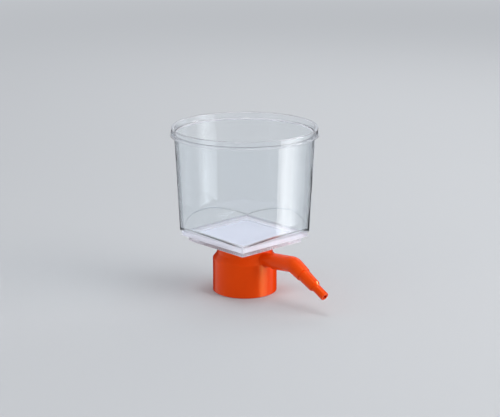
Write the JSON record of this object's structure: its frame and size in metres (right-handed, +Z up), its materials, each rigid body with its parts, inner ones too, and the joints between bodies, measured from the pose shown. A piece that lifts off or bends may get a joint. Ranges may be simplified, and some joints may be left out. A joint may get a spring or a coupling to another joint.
{
  "type": "vacuum filtration unit",
  "caption": "Clear round funnel on a square membrane base and a screw-neck adapter, with a stepped hose connector that swivels, to filter a liquid into a bottle under vacuum.",
  "frame": {"origin": "centre of the adapter's open mouth, on the plane that the unit stands on, and on the funnel's axis", "axes": "+Z up the funnel's axis, towards its rim; +X towards the side stub and the hose connector; the square base's sides lie along X and Y"},
  "size_m": [0.156, 0.1222, 0.1394],
  "materials": {
    "clear_polystyrene": "clear, glossy",
    "clear_plate": "clear, glossy",
    "white_membrane": "matt, fine-grained",
    "orange_plastic": "satin gloss",
    "gasket_foam": "matt",
    "orange_connector": "satin gloss"
  },
  "bodies": {
    "filter_unit": {"funnel": "clear_polystyrene", "support_plate": "clear_plate", "membrane": "white_membrane", "neck_adapter": "orange_plastic", "neck_gasket": "gasket_foam"},
    "hose_connector": {"hose_connector": "orange_connector"}
  },
  "joints": [
    {"name": "connector_swivel", "type": "hinge", "parent": "filter_unit", "child": "hose_connector", "pos_m": [0, 0, 0.02885], "axis": [0.9954, 0, 0.0958], "continuous": true}
  ]
}
